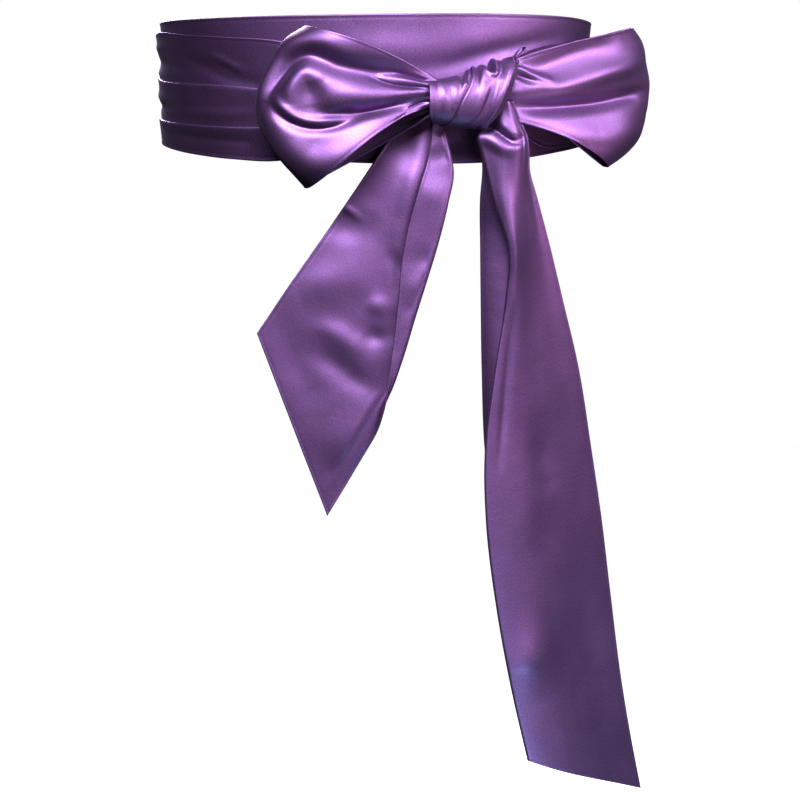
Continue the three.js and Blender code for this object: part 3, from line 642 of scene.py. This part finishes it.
shortTailSizes = {
    "rows": tableReader("along x z lean main flap turn pleat y", [
        (0, 25, -11, 24, 19, 4, 176, 0.5, -104.15), (12, 18, -22, 25, 31, 9, 176, 2, -104.5),
        (26, 10.3, -34, 27, 44.5, 16, 177, 4.5, -105), (45, 0.8, -48.4, 30, 53, 19, 178, 5, -108),
        (72, -14.3, -71, 31, 63, 20, 178, 3.5, -109), (96, -28, -91, 31, 70.5, 17, 178, 2, -110),
        (119, -41, -109.6, 31, 77.5, 11.5, 178, 1, -111), (152, -60, -136.7, 31, 88, 5, 172, 0.5, -112),
        (170, -70, -151.7, 31.3, 92, 2, 140, 0, -112.5),
        (184, -77.8, -163.2, 31.5, 92.5, 1.5, 70, 0, -113),
        (198, -85, -175.3, 31.7, 93, 2, 14, 0, -113.4), (263, -119.2, -231, 31.5, 94, 2, 3, 0, -114),
    ]),
    "cutLeft": 184,
    "cutRight": 263,
    "bendArc": 6.5,
    "shares": (0.68, 0.86),
    "pleat": {"share": 0.6, "inside": 5, "wide": 8, "fade": 6},
    "creases": [
        (2.5, [(-23, -78, 0.2), (-16.4, -82, 0.9), (-9.1, -87.9, 0.2)]),
        (11.2, [(-34.9, -89.3, -0.8), (-19.7, -92.6, -1.8), (-7.1, -95.9, -1)]),
        (12.5, [(-51, -135.7, 0.6), (-35, -130.4, 1.6), (-17.8, -126.4, 1)]),
        (5, [(9.4, -107.8, -0.2), (14.7, -118.4, -1.2), (16, -130.4, -0.5)]),
        (6.2, [(-5.9, -141, 0), (2.1, -145, 1.3), (10.1, -146.3, 0.5)]),
        (6.2, [(-8.5, -162.3, -0.4), (-0.6, -165.6, -1.5), (8.7, -165, -0.6)]),
        (7.5, [(-39.1, -158.3, 0.4), (-25.8, -163.6, 1.5), (-15.2, -171, 1.5), (-7.2, -179.7, 0.6)]),
        (7.5, [(-41.8, -175.7, -0.4), (-28.5, -183, -1.5), (-16.6, -192.4, -1.5), (-3.3, -199.7, -0.6)]),
        (10, [(-60.4, -164.3, -0.5), (-52.5, -182.3, -1), (-44.5, -199.7, -0.5)]),
        (17.5, [(-35.3, -233.3, 0.6), (-16.7, -234.6, 1.9), (-0.6, -226.6, 1.8)]),
        (10, [(-26.7, -256.2, -0.8), (-15.4, -254.8, -1.4), (-6, -244.7, -0.8)]),
    ],
    "flapCreases": [
        (5.4, [(40.4, -39, 0.5), (47, -35.7, 0.8), (52.9, -35.1, 0.5)]),
        (4.8, [(38.4, -46.9, -0.5), (46.3, -44.9, -0.75), (52.9, -43, -0.5)]),
        (9.6, [(28.6, -73.2, 0.25), (37.8, -70.6, 0.8), (47, -69.3, 0.5)]),
        (7.2, [(24.6, -112.2, -0.3), (32.6, -113.5, -0.8), (39.2, -110.2, -0.4)]),
        (7.2, [(19.3, -130.1, 0.25), (26.6, -130.7, 0.7), (33.9, -125.4, 0.4)]),
        (6, [(17.4, -145.3, -0.3), (23.3, -146.7, -0.65), (28.6, -141.3, -0.3)]),
    ],
}


def makeShortTail():
    sizes = shortTailSizes
    bendArc = sizes["bendArc"]
    mainShare, bendShare = sizes["shares"]
    v = np.concatenate([
        placesAcross(90, 80, high=False) * mainShare,
        np.linspace(mainShare, bendShare, 20)[1:],
        mix(bendShare, 1, placesAcross(30, 16, low=False))[1:],
    ])[None, :]
    u = placesAcross(160, 220, low=False)[:, None]

    def acrossAt(row):
        flat = row["main"] * v / mainShare
        bent = row["main"] + bendArc * (v - mainShare) / (bendShare - mainShare)
        flap = row["main"] + bendArc + row["flap"] * (v - bendShare) / (1 - bendShare)
        return np.where(v < mainShare, flat, np.where(v < bendShare, bent, flap))

    # The cut slants across the strip, so the place across decides how far down a line ends.
    lowest = sizes["rows"](mix(sizes["cutLeft"], sizes["cutRight"], v))
    ends = acrossAt(lowest) / (lowest["main"] + bendArc + lowest["flap"])
    row = sizes["rows"](u * mix(sizes["cutLeft"], sizes["cutRight"], ends))
    across = acrossAt(row)
    selvage = row["main"] - row["flap"]
    pleated = sizes["pleat"]
    pleat = row["pleat"] * pleated["share"] * bump(across - selvage + pleated["inside"], pleated["wide"])
    pleat = pleat * np.clip((row["main"] - across) / pleated["fade"], 0, 1)
    bend = np.radians(row["turn"]) / bendArc
    angle = bend * np.clip(across - row["main"], 0, bendArc)
    rest = np.maximum(0, across - row["main"] - bendArc)
    sideways = np.minimum(across, row["main"]) + np.sin(angle) / bend + rest * np.cos(angle)
    forward = (1 - np.cos(angle)) / bend + rest * np.sin(angle)
    lean = np.radians(row["lean"])
    x = row["x"] + sideways * np.cos(lean)
    z = row["z"] - sideways * np.sin(lean)
    soft = creaseRise(x, z, sizes["creases"]) * smoothStep(0, 5, row["main"] - across)
    soft = soft + creaseRise(x, z, sizes["flapCreases"]) * smoothStep(0, 3, rest)
    y = row["y"] - forward - pleat - soft
    return clothShell("tailShort", points(x, y, z), seams=("low", "high", "end"))


longTailSizes = {
    "rows": tableReader("down edge tuck rim side right bend crown y back", [
        (10, 83, 86.8, 83.4, 89, 91, 1, 0.2, -107, 0.5),
        (18, 79, 87.5, 79.6, 92, 94.5, 1.2, 0.6, -105.5, 0.8),
        (25, 74.5, 89, 74.5, 95, 97.5, 1.5, 1.4, -104, 1), (32, 71, 92, 68, 98.5, 100.5, 2, 2.5, -103, 1),
        (41, 71, 94, 70, 99.5, 102, 2.2, 2.5, -103, 2),
        (54.7, 71.8, 96, 73.5, 99, 102.5, 2.1, 2, -103.3, 4),
        (74.7, 70.5, 97, 78.5, 98.5, 108, 1.9, 1.6, -104, 9),
        (106.7, 70.8, 99, 88.5, 98, 116.8, 1.7, 1, -105, 18),
        (141.4, 71.2, 97, 87, 97, 125.5, 1.5, 0.6, -106, 26),
        (189.4, 72, 94, 80, 98, 137.2, 1.3, 0.6, -108, 35),
        (246.8, 74.5, 91, 73.5, 98, 146.8, 1.2, 0.6, -110, 42),
        (292, 81, 93, 74.7, 100, 153.8, 1.4, 0.6, -112, 46),
        (347.5, 91, 99, 81.6, 108, 160.9, 1.5, 0.6, -114, 50),
        (408.2, 103, 109, 93, 120, 169, 1.6, 0.6, -116, 53),
        (446, 111.5, 117, 101.8, 129, 175.5, 1.6, 0.6, -117.5, 54),
        (483, 120, 125, 110.5, 138, 182.8, 1.6, 0.6, -119, 55),
    ]),
    "cutTop": 10,
    "cutLeft": 449.6,
    "cutRight": 482.9,
    "edgeCurl": 13,
    "curlFrom": (40, 100),
    "curlTo": (450, 300),
    "curlPower": 1.4,
    "backPower": 1.35,
    "hiddenColumns": 33,
    "creases": [
        (2.2, [(66.9, -29.6, -1), (71.5, -27.7, -4), (78.7, -28.2, -5), (84.7, -32.3, -5),
               (90.6, -35.6, -4.8), (95.9, -34.9, -3.6), (99.2, -31.6, -1)]),
        (3.6, [(66.2, -33.6, 0.8), (72.8, -34.3, 1.4), (79.4, -37.5, 1.8), (86.7, -41.5, 1.8),
               (94.6, -40.8, 1)]),
        (4, [(80.7, -15.5, 0.5), (83, -20.1, 1.4), (86, -25.7, 1.8)]),
        (10, [(84, -44, 0), (86, -62, 2.6), (88.5, -82, 6.6), (90, -98, 8.6), (91.5, -112, 8),
              (92.5, -135, 4.6), (93, -165, 1.6), (93, -205, 0)]),
        (3, [(93, -140, 0), (90.5, -163, -1.4), (87.5, -195, -2), (84.5, -232, -1.6), (82.5, -260, 0)]),
        (9, [(110.1, -228.2, -0.6), (112.9, -245, -1.8), (117, -263.2, -1)]),
        (9, [(96.9, -251.7, 0.6), (101.7, -275.4, 1.2), (103.8, -302.4, 0.6)]),
        (13, [(101.3, -329.6, 0), (103.4, -356.9, 0.8), (105.6, -380.8, 3.6), (107, -392.4, 2.2),
              (107.7, -411.6, 0)]),
        (16, [(134.3, -343.2, -0.5), (141.2, -370.5, -2), (148.8, -397.9, -1.2)]),
    ],
}


# The pleat's section as a list of columns, each a place across and a rise in front of the back layer.
def pleatColumns(row):
    bend, rim, side, right = row["bend"], row["rim"], row["side"], row["right"]
    high = bend * 4
    backEnd, underEnd, frontEnd = row["tuck"] - bend, rim + bend, side - bend
    columns = []
    for share in placesAcross(12, 18, high=False):
        curl = row["curl"] * (1 - share) ** longTailSizes["curlPower"]
        columns.append((mix(row["edge"], backEnd, share), -curl))
    turnAngles = [math.radians(a) for a in range(20, 181, 20)]
    for a in turnAngles:
        columns.append((backEnd + bend * math.sin(a), bend * (1 - math.cos(a))))
    for share in (0.25, 0.5, 0.75, 1):
        columns.append((mix(backEnd, underEnd, share), bend * 2))
    for a in turnAngles:
        columns.append((underEnd - bend * math.sin(a), bend * (3 - math.cos(a))))
    places = [underEnd, mix(rim, side, 0.5), frontEnd, mix(side, right, 0.34), mix(side, right, 0.67), right]
    rises = [high, high + row["crown"], high, high * 0.5, high * 0.1, 0 * high]
    front = [mix(underEnd, frontEnd, share) for share in np.linspace(0, 1, 29)[1:]]
    front += [mix(frontEnd, right, share) for share in placesAcross(50, 70, low=False)[1:]]
    return columns + [(x, smoothThrough(places, rises, x)) for x in front]


def makeLongTail():
    sizes = longTailSizes

    def section(down, column):
        row = sizes["rows"](down)
        curled = smoothStep(*sizes["curlFrom"], down) * smoothStep(*sizes["curlTo"], down)
        row["curl"] = sizes["edgeCurl"] * curled
        x, rise = pleatColumns(row)[column]
        left = np.minimum(row["edge"], row["rim"])
        share = np.clip((x - left) / (row["right"] - left), 0, 1)
        return x, row["y"] + row["back"] * share ** sizes["backPower"] - rise, share

    u = placesAcross(205, 450, low=False)
    count = len(pleatColumns({**sizes["rows"](0.0), "curl": 0}))
    lines = []
    for column in range(count):
        share = section(np.array(sizes["cutLeft"]), column)[2]
        down = mix(sizes["cutTop"], mix(sizes["cutLeft"], sizes["cutRight"], share), u)
        x, y, _ = section(down, column)
        lines.append(points(x, y, -down))
    grid = np.stack(lines, axis=1)
    frontLayer = np.arange(count)[None, :] > sizes["hiddenColumns"]
    rise = creaseRise(grid[:, :, 0], grid[:, :, 2], sizes["creases"]) * frontLayer
    grid[:, :, 1] -= rise
    return clothShell("tailLong", grid, seams=("low", "high", "end"))


pieces = {
    "innerTurn": makeInnerTurn(),
    "outerTurn": makeOuterTurn(),
    "knotCore": makeKnotCore(),
}
for name, sizes in knotStrips.items():
    pieces[name] = makeKnotStrip(name, sizes)
pieces["knotCurl"] = makeKnotCurl()
for name, sizes in loops.items():
    pieces[name] = makeLoop(name, sizes)
pieces["tailShort"] = makeShortTail()
pieces["tailLong"] = makeLongTail()
for name, piece in pieces.items():
    clothArea = sum(face.area for face in piece.data.polygons) / 2
    print("made", name, len(piece.data.polygons) * 2, "triangles,", round(clothArea, 5), "square metres")


# Materials

# A socket's value, on which sums and products add their Math nodes.
class Value:
    def __init__(self, nodes, socket):
        self.nodes = nodes
        self.socket = socket

    def other(self, name):
        return Value(self.nodes, self.socket.node.outputs[name])

    def __add__(self, other):
        return self.nodes.sum("ADD", self, other)

    def __sub__(self, other):
        return self.nodes.sum("SUBTRACT", self, other)

    def __rsub__(self, other):
        return self.nodes.sum("SUBTRACT", other, self)

    def __mul__(self, other):
        return self.nodes.sum("MULTIPLY", self, other)

    __radd__ = __add__
    __rmul__ = __mul__


# Builds the node tree of a material, of the world, or of a geometry node group.
class NodeMaker:
    def __init__(self, owner):
        if hasattr(owner, "use_nodes"):
            owner.use_nodes = True
        self.owner = owner
        self.tree = getattr(owner, "node_tree", owner)
        self.tree.nodes.clear()

    # Adds a node: its settings are set first, then the values or links of its sockets.
    def add(self, kind, settings=None, inputs=None, output=0):
        node = self.tree.nodes.new(kind)
        for name, value in (settings or {}).items():
            if name == "stops":
                ramp = node.color_ramp.elements
                while len(ramp) < len(value):
                    ramp.new(0.5)
                for element, (place, colour) in zip(ramp, value):
                    element.position = place
                    element.color = colour
            else:
                setattr(node, name, value)
        for name, value in (inputs or {}).items():
            if isinstance(value, Value):
                self.tree.links.new(value.socket, node.inputs[name])
            else:
                node.inputs[name].default_value = value
        return Value(self, node.outputs[output]) if node.outputs else None

    def sum(self, operation, left, right):
        return self.add("ShaderNodeMath", {"operation": operation}, {0: left, 1: right})

    def noise(self, place, scale, detail, roughness=0.5):
        return self.add("ShaderNodeTexNoise", inputs={
            "Vector": place, "Scale": scale, "Detail": detail, "Roughness": roughness})

    def relief(self, height):
        return self.add("ShaderNodeBump", inputs={"Height": height, "Strength": 1.0, "Distance": 1.0})

    # Ends a material's tree with its surface.
    def finished(self, inputs):
        surface = self.add("ShaderNodeBsdfPrincipled", inputs=inputs)
        self.add("ShaderNodeOutputMaterial", inputs={"Surface": surface})
        return self.owner


satinLook = {
    "deep": (0.137, 0.074, 0.175, 1),
    "body": (0.205, 0.115, 0.268, 1),
    "light": (0.288, 0.168, 0.368, 1),
    "metallic": 0.9,
    "roughness": 0.52,
    "grainAcross": 1900,
    "grainAlong": 700,
    "relief": {"soft": 0.0004, "puckered": 0.0001, "grain": 0.00004},
}


def makeSatin():
    look = satinLook
    shader = NodeMaker(bpy.data.materials.new("satin"))
    weave = shader.add("ShaderNodeUVMap", {"uv_map": "weave"})
    place = shader.add("ShaderNodeTexCoord", output="Object")
    stretched = shader.add("ShaderNodeMapping", inputs={
        "Vector": weave, "Scale": (look["grainAlong"], look["grainAcross"], 1)})
    grain = shader.noise(stretched, 1.0, 3.0, 0.6)
    tone = shader.noise(place, 30.0, 2.0) * 0.2 + grain * 0.8
    colour = shader.add("ShaderNodeValToRGB", {"stops": [
        (0.28, look["deep"]), (0.5, look["body"]), (0.72, look["light"])]}, {"Fac": tone})
    soft, puckered = shader.noise(place, 42.0, 1.0, 0.4), shader.noise(place, 130.0, 2.0)
    depth = look["relief"]
    height = soft * depth["soft"] + puckered * depth["puckered"] + grain * depth["grain"]
    return shader.finished({
        "Base Color": colour,
        "Metallic": look["metallic"],
        "Roughness": grain * 0.12 + (look["roughness"] - 0.06),
        "Normal": shader.relief(height),
        "Sheen Weight": 0.1,
        "Sheen Roughness": 0.4,
        "Sheen Tint": (0.75, 0.72, 1.0, 1),
    })


threadLook = {
    "deep": (0.12, 0.06, 0.16, 1), "body": (0.2, 0.11, 0.27, 1), "roughness": 0.55,
    "twist": 2400.0, "relief": 0.00004,
}


def makeThread():
    look = threadLook
    shader = NodeMaker(bpy.data.materials.new("thread"))
    place = shader.add("ShaderNodeTexCoord", output="Object")
    twist = shader.noise(place, look["twist"], 1.0)
    colour = shader.add("ShaderNodeValToRGB", {"stops": [
        (0.35, look["deep"]), (0.65, look["body"])]}, {"Fac": twist})
    return shader.finished({
        "Base Color": colour,
        "Metallic": 0.6,
        "Roughness": twist * 0.1 + (look["roughness"] - 0.05),
        "Normal": shader.relief(twist * look["relief"]),
    })


satin = makeSatin()
thread = makeThread()
for piece in pieces.values():
    piece.data.materials.append(satin)
print("satin and thread made")


# The edge stitching: short stitches along each seam's groove, laid by geometry nodes

# Lengths are in metres. Least is the shortest stitch's share of the length.
stitchSizes = {
    "Length": 0.0022, "Pitch": 0.0029, "Thread": 0.00011, "Least": 0.88, "Seed": 12, "Material": thread,
}


def makeStitchTree():
    maker = NodeMaker(bpy.data.node_groups.new("edgeStitch", "GeometryNodeTree"))
    sockets = maker.tree.interface
    sockets.new_socket("Geometry", in_out="INPUT", socket_type="NodeSocketGeometry")
    kinds = {"Seed": "NodeSocketInt", "Material": "NodeSocketMaterial"}
    for name in stitchSizes:
        sockets.new_socket(name, in_out="INPUT", socket_type=kinds.get(name, "NodeSocketFloat"))
    sockets.new_socket("Geometry", in_out="OUTPUT", socket_type="NodeSocketGeometry")
    given = maker.add("NodeGroupInput")
    line = maker.add("GeometryNodeMeshToCurve", inputs={"Mesh": given})
    spots = maker.add("GeometryNodeCurveToPoints", {"mode": "LENGTH"}, {
        "Curve": line, "Length": given.other("Pitch")})
    uneven = maker.add("FunctionNodeRandomValue", {"data_type": "FLOAT"}, {
        2: given.other("Least"), 3: 1.0, "Seed": given.other("Seed")}, output=1)
    size = maker.add("ShaderNodeCombineXYZ", inputs={
        "X": given.other("Thread"), "Y": given.other("Thread"), "Z": given.other("Length") * 0.5 * uneven})
    shape = maker.add("GeometryNodeMeshUVSphere", inputs={"Segments": 6, "Rings": 4, "Radius": 1.0})
    laid = maker.add("GeometryNodeInstanceOnPoints", inputs={
        "Points": spots, "Instance": shape, "Rotation": spots.other("Rotation"), "Scale": size})
    real = maker.add("GeometryNodeRealizeInstances", inputs={"Geometry": laid})
    smooth = maker.add("GeometryNodeSetShadeSmooth", inputs={"Geometry": real})
    coloured = maker.add("GeometryNodeSetMaterial", inputs={
        "Geometry": smooth, "Material": given.other("Material")})
    maker.add("NodeGroupOutput", inputs={"Geometry": coloured})
    return maker.owner


def makeStitches(name, lines, tree):
    corners, links = [], []
    for line in lines:
        links += [(len(corners) + i, len(corners) + i + 1) for i in range(len(line) - 1)]
        corners += (line / 1000).tolist()
    mesh = bpy.data.meshes.new(name + "Lines")
    mesh.from_pydata(corners, links, [])
    guide = placed(name + "Lines", mesh)
    modifier = guide.modifiers.new("stitches", "NODES")
    modifier.node_group = tree
    for item in tree.interface.items_tree:
        if item.in_out == "INPUT" and item.name in stitchSizes:
            modifier[item.identifier] = stitchSizes[item.name]
    made = bpy.data.meshes.new_from_object(guide.evaluated_get(bpy.context.evaluated_depsgraph_get()))
    made.name = name
    bpy.data.objects.remove(guide)
    return placed(name, made)


stitchTree = makeStitchTree()
stitches = {name: makeStitches(name + "Stitches", lines, stitchTree) for name, lines in stitchLines.items()}
print("edge stitching laid:", sum(len(piece.data.polygons) for piece in stitches.values()), "faces")


# The studio: a pale floor well below, soft lights and the photograph's camera

def makeFloor():
    mesh = bpy.data.meshes.new("floor")
    size, height = 6.0, -1.02
    corners = [(-size, -size, height), (size, -size, height), (size, size, height), (-size, size, height)]
    mesh.from_pydata(corners, [], [(0, 1, 2, 3)])
    piece = placed("floor", mesh)
    mesh.materials.append(NodeMaker(bpy.data.materials.new("paleFloor")).finished({
        "Base Color": (0.93, 0.93, 0.94, 1), "Roughness": 0.8,
        "Emission Color": (1, 1, 1, 1), "Emission Strength": 0.95}))
    # The floor stays pale in the picture, and lights nothing from below.
    piece.visible_diffuse = False
    piece.visible_glossy = False
    return piece


lights = {
    "key": {"place": (-0.15, -1.4, 1.15), "size": (0.8, 0.6), "power": 80, "colour": (0.96, 0.97, 1.0)},
    "bow": {"place": (0.62, -0.47, 0.28), "size": (0.35, 0.35), "power": 6.8, "colour": (1.0, 0.97, 1.0)},
    "front": {"place": (0.5, -1.8, -0.5), "size": (0.8, 0.8), "power": 3, "colour": (1.0, 0.82, 0.9)},
    "low": {"place": (0.2, -0.31, -0.62), "size": (0.22, 0.14), "power": 0.4, "colour": (0.5, 1.0, 0.98),
            "target": (0.17, -0.12, -0.44), "spread": 80},
    "under": {"place": (0.27, -0.17, -0.17), "size": (0.08, 0.08), "power": 0.022,
              "colour": (1.0, 0.72, 0.76), "target": (0.12, -0.08, -0.03), "spread": 60},
    "back": {"place": (-0.5, 1.7, 0.8), "size": (1.0, 0.8), "power": 60, "colour": (1.0, 0.98, 1.0)},
    "warm": {"place": (1.3, -0.8, 0.1), "size": (0.7, 0.7), "power": 3, "colour": (1.0, 0.66, 0.6)},
}


def makeLight(name, sizes, target):
    light = bpy.data.lights.new(name, "AREA")
    light.shape = "RECTANGLE"
    light.size, light.size_y = sizes["size"]
    light.energy = sizes["power"]
    light.color = sizes["colour"]
    light.spread = math.radians(sizes.get("spread", 180))
    lamp = placed(name, light)
    lamp.location = sizes["place"]
    lamp.visible_camera = False
    lamp.rotation_euler = (Vector(target) - lamp.location).to_track_quat("-Z", "Y").to_euler()


cameraSizes = {"target": (0.0167, -0.110, -0.208), "elevation": 6.5, "distance": 2.0, "frameWidth": 0.5333}


def makeCamera():
    sizes = cameraSizes
    lens = bpy.data.cameras.new("camera")
    lens.sensor_width = 36
    lens.lens = lens.sensor_width * sizes["distance"] / sizes["frameWidth"]
    lens.clip_end = 20
    camera = placed("camera", lens)
    tilt = math.radians(sizes["elevation"])
    away = Vector((0, -math.cos(tilt), math.sin(tilt)))
    camera.location = Vector(sizes["target"]) + away * sizes["distance"]
    camera.rotation_euler = away.to_track_quat("Z", "Y").to_euler()
    bpy.context.scene.camera = camera


def makeWorld(shown, given):
    maker = NodeMaker(bpy.data.worlds.new("studio"))
    seen = maker.add("ShaderNodeBackground", inputs={"Strength": shown, "Color": (1, 1, 1, 1)})
    lit = maker.add("ShaderNodeBackground", inputs={"Strength": given, "Color": (1, 0.78, 0.82, 1)})
    direct = maker.add("ShaderNodeLightPath", output="Is Camera Ray")
    chosen = maker.add("ShaderNodeMixShader", inputs={0: direct, 1: lit, 2: seen})
    maker.add("ShaderNodeOutputWorld", inputs={"Surface": chosen})
    bpy.context.scene.world = maker.owner


floor = makeFloor()
for name, sizes in lights.items():
    makeLight(name, sizes, sizes.get("target", (0.03, -0.05, -0.15)))
makeCamera()
makeWorld(1.0, 0.015)
bpy.context.scene.view_settings.view_transform = "Standard"
bpy.context.scene.view_settings.gamma = 0.75
print("studio made")


# Each sheet: the node it stands for, its flat width and length in metres, how it is held and what it rests on
sheets = {
    "innerTurn": ("inner_turn", (0.1, 0.78), "folded", "outerTurn"),
    "outerTurn": ("outer_turn", (0.1, 0.76), "folded", "innerTurn"),
    "knotCore": ("knot_core", (0.1, 0.016), "gathered", "knotSleeve"),
    "knotSleeve": ("knot_sleeve", (0.026, 0.06), "stretched", "knotCore"),
    "knotCross": ("knot_cross", (0.024, 0.065), "stretched", "knotCore"),
    "knotFold": ("knot_fold", (0.014, 0.065), "stretched", "knotCore"),
    "loopLeft": ("loop_left", (0.1, 0.24), "gathered", "knotSleeve"),
    "loopRight": ("loop_right", (0.1, 0.235), "gathered", "knotFold"),
    "tailShort": ("tail_short", (0.1, 0.263), "hung", "knotCore"),
    "tailLong": ("tail_long", (0.1, 0.47), "hung", "knotCore"),
}
carried = {"knotFold": pieces["knotCurl"], **stitches}
for name, (node, flat, held, rests) in sheets.items():
    piece = pieces[name]
    on = [carried[name]] if name in carried else []
    for each in (piece, *on):
        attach(each, "root")
    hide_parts(node)
